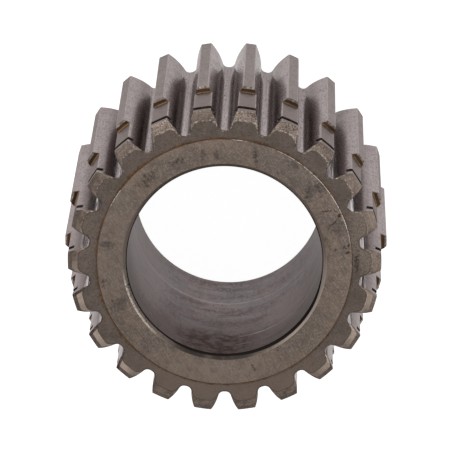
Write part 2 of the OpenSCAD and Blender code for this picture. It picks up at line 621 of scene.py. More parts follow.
rough = calc(mark_group, "SUBTRACT", noise(mark_group, given["Point"], 1.1 / MM, 4.0, 0.7), 0.5)
ragged_reach = scaled(mark_group, rough, times(mark_group, given["Ragged"], 4.0), reach)
feed(mark_group, out["Mask"], ramp(mark_group, ragged_reach, 0.5, 1.2, 1.0, 0.0))


# %% [markdown]
# ## How a finish is built up
#
# On the real part, dirt and wear came over the bare steel one after the other. A picture wrapped round
# the gear would carry its own light with it and would fit from one side only. So each finish starts
# from the colour of its metal and gets coats of procedural patterns, in the order in which they came:
# the lines of the tool, stains, dirt, and last what has rubbed the steel bright again. Some coats are
# painted highlights, reflections and shade.


# %% The start of every finish
# How much a surface mirrors where it isn't bare metal
MIRROR_LEVEL = 0.2


def new_finish(name, metallic, roughness, edge_on=(1, 1, 1)):
    """A material with its shader, and the point and measures that its patterns read.

    The last colour is what the metal keeps of a reflection that is seen almost edge on.
    """
    material = bpy.data.materials.new(name)
    material.use_nodes = True
    tree = material.node_tree
    shader = tree.nodes["Principled BSDF"]
    shader.inputs["Metallic"].default_value = metallic
    shader.inputs["Roughness"].default_value = roughness
    shader.inputs["Specular Tint"].default_value = (*edge_on, 1)
    shader.inputs["Specular IOR Level"].default_value = MIRROR_LEVEL
    point = tree.nodes.new("ShaderNodeTexCoord").outputs["Object"]
    return material, tree, shader, point, use_group(tree, measures_group, {"Point": point})


# %% Coats of colour, and a list of the finishes
finishes = {}


def coats(tree, tone, *layers):
    """Lays colours over a tone. Each layer is its mask, its strength and its colour."""
    for mask, strength, colour in layers:
        tone = tint(tree, times(tree, mask, strength), tone, colour)
    return tone


def roughen(tree, shader, height, distance):
    """Feeds a height pattern to the shader's normal."""
    bump = node(tree, "ShaderNodeBump", {"Height": height, "Distance": distance})
    feed(tree, shader.inputs["Normal"], bump.outputs["Normal"])


def give(surface, material):
    """Keeps the finish of a surface."""
    finishes[surface] = material
    print(f"{surface}: {material.name}, {len(material.node_tree.nodes)} nodes")


# %% Patterns, with sizes in millimetres
def clouds(tree, point, size, amount=0.5, softness=0.15):
    """Soft patches: their mask, and the tone that the mask is cut from."""
    inputs = {"Point": point, "Size": size, "Amount": amount, "Softness": softness}
    return use_group(tree, stain_group, inputs)


def patches(tree, point, size, amount=0.5, softness=0.15):
    """Only the mask of the clouds."""
    return clouds(tree, point, size, amount, softness)["Mask"]


def tool_lines(tree, in_mm, spacing, length):
    """Lines along the third axis of a vector in millimetres."""
    return use_group(tree, lines_group, {"Point": in_mm, "Spacing": spacing, "Length": length})["Height"]


def pits(tree, point, spacing, size):
    return use_group(tree, pits_group, {"Point": point, "Spacing": spacing, "Size": size})["Mask"]


def mark(tree, point, place, size, ragged, turn=0.0):
    """A spot at a place, with its half sizes and its turn in degrees."""
    return use_group(tree, mark_group, {
        "Point": point,
        "Place": [value * MM for value in place],
        "Size": [value * MM for value in size],
        "Turn": radians(turn),
        "Ragged": ragged,
    })["Mask"]


# %% Places on the gear
# So large a size that a mark covers every height
ANY_HEIGHT = 1000.0


def front_mark(tree, point, x, y, length, width, ragged, turn=0.0):
    """A spot with its place and half sizes on the front end, at any height."""
    return mark(tree, point, (x, y, body_length / MM), (length, width, ANY_HEIGHT), ragged, turn)


def between(tree, value, low, high, softness):
    """A mask that is 1 from the low value to the high one, with soft ends."""
    rising = ramp(tree, value, low - softness, low + softness)
    return times(tree, rising, ramp(tree, value, high - softness, high + softness, 1.0, 0.0))


def side(tree, at, start, end, softness):
    """A mask between two angles round the axis: 0 is at the right of the picture, pi / 2 at its top."""
    return between(tree, at["Around"], start, end, softness)


def along_axis(tree, point, part=0.35):
    """The point with its height shortened, which stretches a pattern along the axis."""
    return node(tree, "ShaderNodeVectorMath", {0: point, 1: (1, 1, part)}, operation="MULTIPLY").outputs[0]


def round_axis(tree, at, radius):
    """A vector in millimetres whose Z runs round the axis, for lines that go round."""
    return combine(tree, at["Radius"], at["Height"], times(tree, at["Around"], radius / MM))


# %% [markdown]
# ## Ground flanks
#
# A grinding wheel ran along each flank and left fine lines from end to end. Near the root it left the
# coarser facets of the hob, as black streaks, with light streaks of painted reflection beside them. A band
# of oil with painted shade darkens the flanks low in the tooth spaces, and painted shade darkens their
# floors, lifted by painted light towards the front. Clean ground steel is bright only where it mirrors
# something bright, so its colour stays a middling grey with a trace of violet, and the shine comes from a
# low roughness. Seen almost edge on, a metal turns as bright as a mirror. Real ground steel has a film of
# oil and fine scratches that hold this back, and the Specular Tint does so.


# %% Oil, painted shade and the marks of the hob
# The angle counts for more than a length would, so that the two flanks of a space differ
ANGLE_WEIGHT = 6.0


def oil_and_shade_in_spaces(tree, at, above_root):
    """Oil and painted shade low on the flanks, which darken them. There is more of it at the front, and on
    the gear's upper side.
    """
    rising = ramp(tree, above_root, 0.3, 1.2)
    fading = ramp(tree, above_root, 2.5, 6.5, 1.0, 0.0)
    forwards = ramp(tree, at["Height"], 0.0, 40.0, 0.5, 0.95)
    upper = side(tree, at, 1.0, 2.9, 0.3)
    return times(tree, rising, fading, forwards, scaled(tree, upper, 0.25, 0.75))


def hob_marks(tree, at, near_root, streaks):
    """Black hob streaks and light streaks of painted reflection near the root, as two masks. Most are left
    out on the gear's upper side.
    """
    shown = calc(tree, "SUBTRACT", 1.0, side(tree, at, 0.75, 2.4, 0.3))
    shown = times(tree, shown, ramp(tree, at["Height"], 25.0, 60.0, 0.35, 1.0))
    unrolled = combine(tree, at["Radius"], times(tree, at["Around"], ANGLE_WEIGHT), at["Height"])
    facets = tool_lines(tree, unrolled, 0.5, 30.0)
    few = ramp(tree, streaks, 0.36, 0.46, 0.25, 0.0)
    many = times(tree, ramp(tree, facets, 0.44, 0.5, 0.95, 0.0), shown)
    black = times(tree, near_root, calc(tree, "MAXIMUM", few, many))
    # The light streaks beside the black ones are a painted reflection
    reflection_streaks = times(tree, near_root, shown, ramp(tree, facets, 0.52, 0.6, 0.0, 0.8))
    return black, reflection_streaks


# %% The shine of the flanks
def flank_shine(tree, shader, cloud, oil_and_shade, pores, specks, black):
    """Pores, dry specks and black streaks are dull. Oily bands with painted shade are smoother than the
    steel.
    """
    dry_specks = times(tree, specks, scaled(tree, oil_and_shade, -0.8, 1.0))
    dull = calc(tree, "MAXIMUM", times(tree, dry_specks, 0.6), black)
    dull = calc(tree, "MAXIMUM", times(tree, pores, 0.45), dull)
    feed(tree, shader.inputs["Metallic"], scaled(tree, dull, -0.9, scaled(tree, oil_and_shade, 0.04, 0.96)))
    smooth = scaled(tree, oil_and_shade, -0.08, ramp(tree, cloud["Tone"], 0.3, 0.7, 0.18, 0.28))
    feed(tree, shader.inputs["Roughness"], scaled(tree, dull, 0.6, smooth))


# %% Flanks and the floors of the tooth spaces
def ground_flank():
    material, tree, shader, point, at = new_finish("ground_flank", 0.96, 0.24, (0.6, 0.557, 0.552))
    in_mm = node(tree, "ShaderNodeVectorMath", {0: point, "Scale": 1 / MM}, operation="SCALE").outputs[0]
    lines = tool_lines(tree, in_mm, 0.3, 22.0)
    streaks = tool_lines(tree, in_mm, 0.6, 35.0)
    grain = clouds(tree, along_axis(tree, point), 0.6, 0.48, 0.08)
    cloud = clouds(tree, point, 6.0, 0.42, 0.2)
    above_root = calc(tree, "SUBTRACT", at["Radius"], root_radius / MM)
    near_root = ramp(tree, above_root, 0.8, 3.0, 1.0, 0.0)
    # Painted shade on the floors of the tooth spaces, lifted by painted light towards the front
    floor = ramp(tree, above_root, 0.1, 0.5, 1.0, 0.0)
    lit_front_floor = times(tree, floor, ramp(tree, at["Height"], 30.0, 74.0))
    # Painted shade, with oil, darkens the flanks low in the tooth spaces
    oil_and_shade = oil_and_shade_in_spaces(tree, at, above_root)
    bare = times(tree, near_root, ramp(tree, streaks, 0.5, 0.62, 0.0, 0.25))
    black, reflection_streaks = hob_marks(tree, at, near_root, streaks)
    pores = patches(tree, along_axis(tree, point, 0.3), 0.36, 0.38, 0.05)
    pores = times(tree, pores, calc(tree, "SUBTRACT", 1.0, oil_and_shade, clamp=True))
    specks = pits(tree, along_axis(tree, point), 1.4, 0.24)
    feed(tree, shader.inputs["Base Color"], coats(
        tree,
        (0.41, 0.365, 0.365),
        (ramp(tree, lines, 0.3, 0.7), 0.6, (0.27, 0.237, 0.237)),
        (cloud["Mask"], 0.35, (0.22, 0.19, 0.188)),
        (floor, 0.6, (0.27, 0.24, 0.24)),
        (lit_front_floor, 1.0, (0.38, 0.34, 0.34)),
        (grain["Mask"], 0.4, (0.12, 0.104, 0.102)),
        (oil_and_shade, 1.0, (0.045, 0.034, 0.03)),
        (bare, 1.0, (0.5, 0.48, 0.49)),
        # Light streaks of painted reflection
        (reflection_streaks, 1.0, (0.8, 0.79, 0.82)),
        (black, 1.0, (0.04, 0.036, 0.038)),
        (pores, 0.7, (0.05, 0.042, 0.04)),
        (specks, 0.75, (0.06, 0.045, 0.04)),
    ))
    flank_shine(tree, shader, cloud, oil_and_shade, pores, specks, black)
    line_height = times(tree, lines, scaled(tree, near_root, 2.0, 0.3))
    roughen(tree, shader, scaled(tree, grain["Tone"], 2.6, line_height), 0.011 * MM)
    return material


give("flank", ground_flank())

# %% [markdown]
# ## Tooth tips
#
# The tips are a little duller than the flanks, and browner where they are stepped down. At the sides of
# the gear they are seen edge on, where smooth metal would mirror the white floor. Their uneven skin
# scatters that light, so the roughness rises as the surface turns away from the eye.


# %% The lands of the teeth
def ground_land():
    material, tree, shader, point, at = new_finish("ground_land", 0.9, 0.36, (0.45, 0.42, 0.415))
    lines = tool_lines(tree, round_axis(tree, at, tip_radius), 0.35, 5.0)
    grain = clouds(tree, along_axis(tree, point), 0.6, 0.45, 0.1)
    stepped = ramp(tree, at["Height"], shoulder_z / MM + 0.2, shoulder_z / MM + 0.6)
    feed(tree, shader.inputs["Base Color"], coats(
        tree,
        (0.33, 0.289, 0.284),
        (ramp(tree, lines, 0.3, 0.7), 0.4, (0.25, 0.216, 0.21)),
        (stepped, 0.65, (0.215, 0.18, 0.166)),
        (patches(tree, point, 5.0, 0.45, 0.2), 0.6, (0.215, 0.182, 0.174)),
        (grain["Mask"], 0.45, (0.13, 0.11, 0.105)),
    ))
    facing = node(tree, "ShaderNodeLayerWeight", {"Blend": 0.5}).outputs["Facing"]
    feed(tree, shader.inputs["Roughness"], ramp(tree, facing, 0.82, 0.95, 0.36, 0.8))
    roughen(tree, shader, scaled(tree, grain["Tone"], 1.8, lines), 0.006 * MM)
    return material


give("land", ground_land())

# %% [markdown]
# ## Worn edges and painted highlights
#
# Wherever two machined surfaces meet, years of handling have polished the edge, and a painted highlight
# lies on it where it faces the light. Such an edge is a thin strip of faces with a brighter colour, broken
# up by noise, so the line comes and goes. A mask from the mesh's curvature would do the wear too, but it
# can't tell the edges that a cloth reaches from the others.


# %% Worn edges and painted highlights
def worn_edge_and_highlight(name, bright, dull, size, amount, roughness=0.35, start=-4.0, end=4.0):
    """An edge that wear and a painted highlight brighten in places, between two angles round the axis."""
    material, tree, shader, point, at = new_finish(name, 0.9, roughness, (0.75, 0.72, 0.7))
    wear = clouds(tree, point, size, amount, 0.1)
    places = patches(tree, point, 5.0 * size, 0.55, 0.1)
    handled_and_lit = side(tree, at, start, end, 0.2)
    # Bright patches of wear with a painted highlight, on the sides between start and end
    worn_and_lit = times(tree, wear["Mask"], handled_and_lit, scaled(tree, places, 0.8, 0.2))
    feed(tree, shader.inputs["Base Color"], tint(tree, worn_and_lit, dull, bright))
    roughen(tree, shader, wear["Tone"], 0.015 * MM)
    return material


# Each of these edges is brightened by wear and by a painted highlight
give("tip_edge", worn_edge_and_highlight("worn_and_lit_tip_edge", (0.36, 0.325, 0.318), (0.24, 0.21, 0.206), 2.5, 0.45))
give("broken_edge", worn_edge_and_highlight(
    "broken_edge", (0.5, 0.42, 0.36), (0.1, 0.076, 0.062), 1.6, 0.5, 0.35, -1.1, 0.6
))
give("worn_and_lit_rim", worn_edge_and_highlight(
    "worn_and_lit_rim", (0.5, 0.43, 0.375), (0.115, 0.088, 0.072), 0.8, 0.46, 0.45, 0.3, 2.5
))
give("shoulder_bevel", worn_edge_and_highlight(
    "worn_and_lit_shoulder_edge", (0.36, 0.3, 0.262), (0.11, 0.084, 0.072), 0.8, 0.5, 0.45
))

# %% [markdown]
# ## The groove and the shoulder
#
# The ring groove was cut with a narrow tool. Its depth is in the mesh, and its dark brown, almost black
# colour is painted shade for the deep shadow inside it. The shoulder is the turned wall where the full
# teeth begin. No grinding wheel reached it, so it kept a brown skin, with a golden painted highlight along
# its foot.


# %% The groove and the shoulder
def shaded_groove():
    material, tree, shader, point, at = new_finish("shaded_groove", 0.4, 0.6)
    cloud = clouds(tree, point, 1.5, 0.4, 0.2)
    # The almost black tone is painted shade
    tone = tint(tree, cloud["Mask"], (0.018, 0.013, 0.01), (0.075, 0.045, 0.027))
    feed(tree, shader.inputs["Base Color"], tone)
    roughen(tree, shader, cloud["Tone"], 0.02 * MM)
    return material


def shoulder_wall():
    material, tree, shader, point, at = new_finish("shoulder_wall", 0.6, 0.5)
    # A painted highlight along the fillet at the foot of the wall, more orange on the upper left
    foot = ramp(tree, at["Radius"], step_radius / MM + 0.15, step_radius / MM + 0.4, 1.0, 0.0)
    cloud = clouds(tree, point, 1.0, 0.5, 0.15)
    fillet_highlight = tint(tree, cloud["Mask"], (0.1, 0.055, 0.026), (0.22, 0.133, 0.073))
    upper_left = side(tree, at, 2.2, 3.2, 0.15)
    fillet_highlight = tint(tree, times(tree, upper_left, 0.6), fillet_highlight, (0.38, 0.2, 0.095))
    feed(tree, shader.inputs["Base Color"], coats(
        tree,
        (0.04, 0.025, 0.015),
        (patches(tree, point, 9.0, 0.5, 0.1), 1.0, (0.12, 0.063, 0.029)),
        (cloud["Mask"], 0.5, (0.045, 0.027, 0.016)),
        (foot, 1.0, fillet_highlight),
    ))
    roughen(tree, shader, cloud["Tone"], 0.02 * MM)
    return material


give("groove", shaded_groove())
give("shoulder", shoulder_wall())

# %% [markdown]
# ## The chamfer on the tooth tips
#
# The chamfer was turned before the teeth were cut. It is speckled, with a bright grain, dark pores and
# dirt. The grain is rubbed bright, and painted light makes it brighter on the upper teeth. A painted
# highlight lies on the low teeth of both sides, and painted shade darkens the upper edge of the low left
# teeth. One texture would look the same on all teeth. So this finish reads how far a point is from the
# middle of its own tooth, and which way that tooth looks.

# %% Where a point lies on its tooth
# Half the width of a tooth on the pitch circle, and how it shrinks further out, in millimetres
HALF_TOOTH = 3.77
FLANK_SLOPE = -0.25
FLANK_CURVE = -0.046


def on_tooth(tree, at):
    """The distance from the middle of the tooth, with its sign, and the one to the nearer flank."""
    off_angle = calc(tree, "WRAP", at["Around"], sector_half, -sector_half)
    off_centre = times(tree, off_angle, at["Radius"])
    beyond = calc(tree, "SUBTRACT", at["Radius"], pitch_radius / MM)
    half_tooth = scaled(tree, scaled(tree, beyond, FLANK_CURVE, FLANK_SLOPE), beyond, HALF_TOOTH)
    return off_centre, calc(tree, "SUBTRACT", half_tooth, calc(tree, "ABSOLUTE", off_centre))


def highlight_on_low_teeth(tree, point, off_centre, low_left, low_right):
    """A painted highlight on the low teeth, more on the side that faces down, in patches."""
    left_part = times(tree, low_left, ramp(tree, off_centre, -1.0, 2.5, 1.0, 0.6))
    right_part = times(tree, low_right, ramp(tree, off_centre, -2.5, 1.5, 0.2, 0.8))
    patchy = patches(tree, point, 1.2, 0.62, 0.15)
    return times(tree, calc(tree, "MAXIMUM", left_part, right_part), scaled(tree, patchy, 0.45, 0.55))


def highlight_at_face(tree, point, at):
    """A broken painted highlight where the chamfer meets the face, on the gear's upper side."""
    line = ramp(tree, at["Height"], face_z / MM - 0.13, face_z / MM - 0.07)
    broken = patches(tree, point, 0.7, 0.47, 0.06)
    upper = side(tree, at, 0.5, 2.4, 0.2)
    return times(tree, line, broken, scaled(tree, upper, 0.3, 0.5), ramp(tree, at["Around"], -0.6, -0.3))


# %% The chamfer
def speckled_chamfer(name, colour, dark, highlight_strength):
    """The tip's chamfer. The highlight strength is how much painted highlight shows on the low teeth."""
    material, tree, shader, point, at = new_finish(name, 0.7, 0.45)
    grain = clouds(tree, point, 0.33, 0.46, 0.08)
    low_left = side(tree, at, -3.1, -2.2, 0.12)
    low_right = side(tree, at, -0.9, -0.25, 0.15)
    off_centre, from_flank = on_tooth(tree, at)
    # A painted highlight on the low teeth
    low_highlight = highlight_on_low_teeth(tree, point, off_centre, low_left, low_right)
    # Painted shade on the upper edge of the low left teeth
    shaded_upper_edge = times(tree, ramp(tree, off_centre, -0.8, -0.3, 1.0, 0.0), low_left)
    shaded_upper_edge = times(tree, shaded_upper_edge, ramp(tree, from_flank, 0.8, 1.1, 1.0, 0.0))
    # Rubbed grain, painted brighter on the upper teeth as painted light
    handled_and_lit = front_mark(tree, point, 0, 46, 36, 30, 0.2)
    shaded = front_mark(tree, point, -7, 46, 5, 5, 0.3)
    feed(tree, shader.inputs["Base Color"], coats(
        tree,
        colour,
        (patches(tree, point, 2.2, 0.5, 0.12), 1.0, dark),
        (patches(tree, point, 14.0, 0.5, 0.1), 0.3, (0.25, 0.195, 0.16)),
        (low_highlight, highlight_strength, (0.56, 0.445, 0.37)),
        (shaded_upper_edge, 0.95, (0.05, 0.036, 0.028)),
        (times(tree, grain["Mask"], scaled(tree, handled_and_lit, 0.55, 0.25)), 1.0, (0.46, 0.375, 0.32)),
        (shaded, 0.5, (0.1, 0.073, 0.055)),
        (patches(tree, point, 0.4, 0.36, 0.06), 0.75, (0.045, 0.033, 0.027)),
        (highlight_at_face(tree, point, at), 1.0, (0.56, 0.48, 0.42)),
    ))
    roughen(tree, shader, grain["Tone"], 0.03 * MM)
    return material


give("tip_chamfer", speckled_chamfer("speckled_chamfer", (0.205, 0.158, 0.13), (0.1, 0.074, 0.06), 0.9))
give("tip_corner", speckled_chamfer("dull_tip_corner", (0.125, 0.094, 0.077), (0.088, 0.066, 0.053), 0.0))

# %% [markdown]
# ## The end faces
#
# Nobody grinds the ends of the teeth. They keep the brown skin that hot oil leaves, with rust where the
# raised ring begins, because a cloth doesn't reach into that corner. The rust is a band whose width
# changes with the place, so its mask comes from the distance to the ring, divided by that width.


# %% Rust at the foot of the ring
def rust_at_ring(tree, point, at):
    """A band along the ring, wide where it stayed damp and narrow where it stayed dry."""
    width = ramp(tree, clouds(tree, point, 3.5)["Tone"], 0.44, 0.62, 0.05, 0.85)
    damp = front_mark(tree, point, -29, 26.5, 7, 7, 0.3)
    width = scaled(tree, damp, 0.5, width)
    width = scaled(tree, side(tree, at, -2.95, -2.1, 0.15), 0.35, width)
    dry = side(tree, at, -0.5, 0.4, 0.2)
    width = times(tree, width, scaled(tree, dry, -0.75, 1.0))
    past_ring = calc(tree, "SUBTRACT", at["Radius"], ring_radius / MM)
    clean = ramp(tree, calc(tree, "DIVIDE", past_ring, width), 0.6, 1.1)
    return times(tree, calc(tree, "SUBTRACT", 1.0, clean), ramp(tree, past_ring, -0.1, 0.0))


# %% The ends of the teeth
def stained_face(name, colour, dark):
    """The brown skin of an end face, between a colour and a darker one."""
    material, tree, shader, point, at = new_finish(name, 0.5, 0.55)
    grain = clouds(tree, point, 0.45, 0.45, 0.12)
    stain = front_mark(tree, point, 39.7, 0.2, 0.9, 3.4, 0.8)
    stain = times(tree, stain, patches(tree, point, 0.8, 0.6, 0.08))
    rust_tone = tint(tree, patches(tree, point, 1.0, 0.5, 0.08), (0.165, 0.098, 0.053), (0.09, 0.058, 0.04))
    feed(tree, shader.inputs["Base Color"], coats(
        tree,
        colour,
        (patches(tree, point, 4.5, 0.5, 0.15), 1.0, dark),
        (patches(tree, point, 9.0, 0.4, 0.1), 0.55, (0.19, 0.143, 0.113)),
        (front_mark(tree, point, 45, 8, 9, 15, 0.3), 0.8, (0.225, 0.178, 0.148)),
        (front_mark(tree, point, -45, 10, 9, 18, 0.3), 0.5, (0.2, 0.156, 0.129)),
        (grain["Mask"], 0.75, (0.075, 0.057, 0.046)),
        (front_mark(tree, point, 0, -54, 50, 34, 0.3), 0.55, (0.18, 0.133, 0.105)),
        (pits(tree, point, 1.7, 0.14), 0.6, (0.045, 0.033, 0.026)),
        (stain, 0.9, (0.045, 0.034, 0.03)),
        (rust_at_ring(tree, point, at), 1.0, rust_tone),
    ))
    roughen(tree, shader, grain["Tone"], 0.02 * MM)
    return material


give("tooth_face", stained_face("stained_tooth_face", (0.155, 0.122, 0.103), (0.108, 0.085, 0.072)))
give("back_face", stained_face("stained_back_face", (0.16, 0.13, 0.11), (0.1, 0.08, 0.065)))

# %% [markdown]
# ## The corner of the raised ring
#
# The small step up to the ring is as rusty as the corner below it. On the sides that face the light, the
# rust is painted lighter, and the very top of the edge gets a painted highlight in short dashes. Two cloud
# patterns of different size, multiplied, make such dashes without a texture.

# %% The corner of the raised ring
# The sides where the rust is painted lighter and the edge gets a painted highlight
LIT_SIDES = [
    # start and end round the axis, softness
    (0.2, 1.15, 0.12),
    (1.4, 1.5, 0.03),
    (2.5, 2.68, 0.03),
]


def ring_corner():
    material, tree, shader, point, at = new_finish("ring_corner", 0.6, 0.45)
    lit_sides = 0.0
    for start, end, softness in LIT_SIDES:
        lit_sides = calc(tree, "MAXIMUM", side(tree, at, start, end, softness), lit_sides)
    dashes = times(tree, patches(tree, point, 0.9, 0.56, 0.05), patches(tree, point, 4.0, 0.68, 0.06))
    edge_z = (body_length - ring_softening) / MM
    glint = times(tree, dashes, lit_sides, ramp(tree, at["Height"], edge_z - 0.1, edge_z))
    feed(tree, shader.inputs["Base Color"], coats(
        tree,
        (0.08, 0.052, 0.036),
        (patches(tree, point, 3.0, 0.55, 0.1), 1.0, (0.17, 0.096, 0.049)),
        (lit_sides, 0.6, (0.13, 0.09, 0.062)),
        (glint, 1.0, (0.56, 0.51, 0.47)),
    ))
    return material


give("ring_corner", ring_corner())

# %% [markdown]
# ## The raised ring
#
# A cup wheel ground the ring face and left long shallow arcs that lie almost straight here, most of them
# in one direction. Over them lie mottled oil stains and fine dirt in the pores, which noise makes well.
# A few dark spots, smudges and scratches have their own places, and noise would never put them there.
# So they are listed one by one, in millimetres from the axis.

# %% Dark spots
# Each one is its x and y, its half length and half width, and its turn in degrees
RING_SPOTS = [
    (9.3, 32.5, 2.8, 0.5, 94),
    (25.0, 21.0, 1.7, 0.7, 75),
    (28.4, 24.0, 1.6, 1.4, 0),
    (30.2, 7.6, 0.9, 0.35, 100),
    (31.5, 4.9, 0.6, 0.45, 120),
    (33.1, 4.1, 0.5, 0.35, 0),
    (37.0, 5.5, 0.75, 0.6, 0),
    (36.0, 5.0, 0.55, 0.4, 0),
    (37.0, 3.2, 0.7, 0.5, 20),
    (-36.3, -6.6, 1.2, 0.7, 80),
    (-33.5, -12.0, 1.0, 0.4, 50),
    (-22.4, 25.9, 3.0, 1.5, 40),
    (-13.7, 31.7, 1.9, 0.8, 20),
    (15.9, -26.7, 1.2, 0.4, 80),
    (8.7, -33.0, 0.35, 1.2, 25),
]

# %% Smudges and scratches
RING_SMUDGES = [
    (34.4, 10.6, 3.4, 2.4, 105),
    (25.2, 21.6, 3.0, 1.6, 75),
    (29.0, 23.0, 2.6, 2.0, 120),
    (-35.0, 5.4, 2.8, 1.3, 170),
    (-31.6, -13.4, 3.0, 2.2, 30),
    (20.5, 30.5, 2.4, 1.4, 140),
    (9.4, 33.4, 2.8, 1.0, 92),
    (-6.4, 33.3, 2.4, 0.9, 84),
    (-2.4, 33.2, 1.6, 0.9, 95),
]
RING_SCRATCHES = [
    (30.4, 16.1, 1.9, 0.16, 8),
    (33.2, 16.1, 0.9, 0.2, -34),
    (34.2, 14.7, 0.8, 0.6, 60),
    (37.1, 5.4, 0.6, 0.35, 70),
    (37.0, 3.3, 0.6, 0.4, 20),
    (36.3, 4.5, 0.35, 0.2, 30),
    (33.3, 13.2, 1.0, 0.2, 56),
    (32.1, 12.0, 1.0, 0.17, 35),
    (31.2, 10.8, 0.7, 0.14, 72),
]
print(f"{len(RING_SPOTS)} spots, {len(RING_SMUDGES)} smudges and {len(RING_SCRATCHES)} scratches")


# %% Several marks as one mask
def all_marks(tree, point, places, ragged):
    mask = 0.0
    for x, y, length, width, turn in places:
        mask = calc(tree, "MAXIMUM", front_mark(tree, point, x, y, length, width, ragged, turn), mask)
    return mask


# %% Lines at a slant
def slanted_lines(tree, point, slant, spacing, length):
    """Straight lines on the ring face, at a slant in degrees from the X axis."""
    run, rise = cos(radians(slant)) / MM, sin(radians(slant)) / MM
    axes = node(tree, "ShaderNodeSeparateXYZ", {"Vector": point}).outputs
    across = calc(tree, "ADD", times(tree, axes["X"], -rise), times(tree, axes["Y"], run))
    along = calc(tree, "ADD", times(tree, axes["X"], run), times(tree, axes["Y"], rise))
    return tool_lines(tree, combine(tree, across, 0.0, along), spacing, length)


# %% The ring face
def ground_ring():
    material, tree, shader, point, at = new_finish("ground_ring", 0.75, 0.42)
    long_lines = slanted_lines(tree, point, -56, 0.3, 4.0)
    short_lines = slanted_lines(tree, point, 48, 0.3, 1.6)
    grain = clouds(tree, point, 0.5, 0.42, 0.06)
    dusty = scaled(tree, patches(tree, point, 0.8, 0.5, 0.08), 0.65, 0.15)
    spots = times(tree, all_marks(tree, point, RING_SPOTS, 1.6), dusty)
    smudges = all_marks(tree, point, RING_SMUDGES, 0.8)
    smudges = times(tree, smudges, ramp(tree, dusty, 0.1, 0.6, 0.3, 0.7))
    feed(tree, shader.inputs["Base Color"], coats(
        tree,
        (0.22, 0.165, 0.13),
        (patches(tree, point, 7.0, 0.5, 0.12), 1.0, (0.165, 0.132, 0.113)),
        (front_mark(tree, point, -3, -37, 20, 9, 0.4), 0.6, (0.3, 0.235, 0.193)),
        (front_mark(tree, point, 19, 29, 12, 7, 0.4, -38), 0.7, (0.16, 0.134, 0.12)),
        (front_mark(tree, point, -33, 7, 9, 24, 0.4), 0.4, (0.27, 0.213, 0.178)),
        (ramp(tree, long_lines, 0.45, 0.68), 0.6, (0.3, 0.238, 0.197)),
        (ramp(tree, short_lines, 0.5, 0.75), 0.5, (0.3, 0.238, 0.197)),
        (grain["Mask"], 0.85, (0.088, 0.066, 0.051)),
        (ramp(tree, grain["Tone"], 0.52, 0.59), 0.8, (0.33, 0.265, 0.221)),
        (patches(tree, point, 3.2, 0.44, 0.12), 0.3, (0.092, 0.071, 0.057)),
        (ramp(tree, long_lines, 0.36, 0.48, 1.0, 0.0), 0.35, (0.1, 0.077, 0.062)),
        (pits(tree, point, 1.4, 0.17), 0.75, (0.055, 0.042, 0.033)),
        (spots, 1.0, (0.05, 0.04, 0.034)),
        (smudges, 1.0, (0.082, 0.07, 0.064)),
        (all_marks(tree, point, RING_SCRATCHES, 0.5), 0.9, (0.035, 0.024, 0.021)),
    ))
    roughen(tree, shader, long_lines, 0.006 * MM)
    return material


give("ring_face", ground_ring())

# %% [markdown]
# ## The mouth of the bore
#
# The chamfer at the mouth catches every shaft that goes in. It is dented at the left and darker below.
# Painted light brightens its left side, painted highlights lie on its low left and on its right, and a
# black line of dirt with painted shade runs where it meets the bore. An even pattern would miss all this,
# so the finish is a set of sides, each a mask between two angles round the axis.

# %% The sides of the chamfer
foot_z = (body_length - bore_chamfer_height) / MM


def clear_of_foot_shade(tree, at, above):
    """A mask of all but the black line at the chamfer's foot, dirt with painted shade, which is wider below
    and on the right.
    """
    foot = scaled(tree, above, 0.25, foot_z + 0.3)
    foot = scaled(tree, side(tree, at, -1.25, -0.3, 0.25), 0.75, foot)
    foot = scaled(tree, side(tree, at, -2.1, -1.2, 0.2), 0.35, foot)
    return ramp(tree, calc(tree, "SUBTRACT", at["Height"], foot), 0.0, 0.3)


def low_left_highlight(tree, point, at):
    """A painted highlight in bright patches on the outer part of the chamfer, on the low left."""
    outer_part = ramp(tree, at["Height"], body_length / MM - 0.9, body_length / MM - 0.5)
    return times(tree, side(tree, at, -3.0, -2.35, 0.1), outer_part, patches(tree, point, 0.55, 0.56, 0.05))


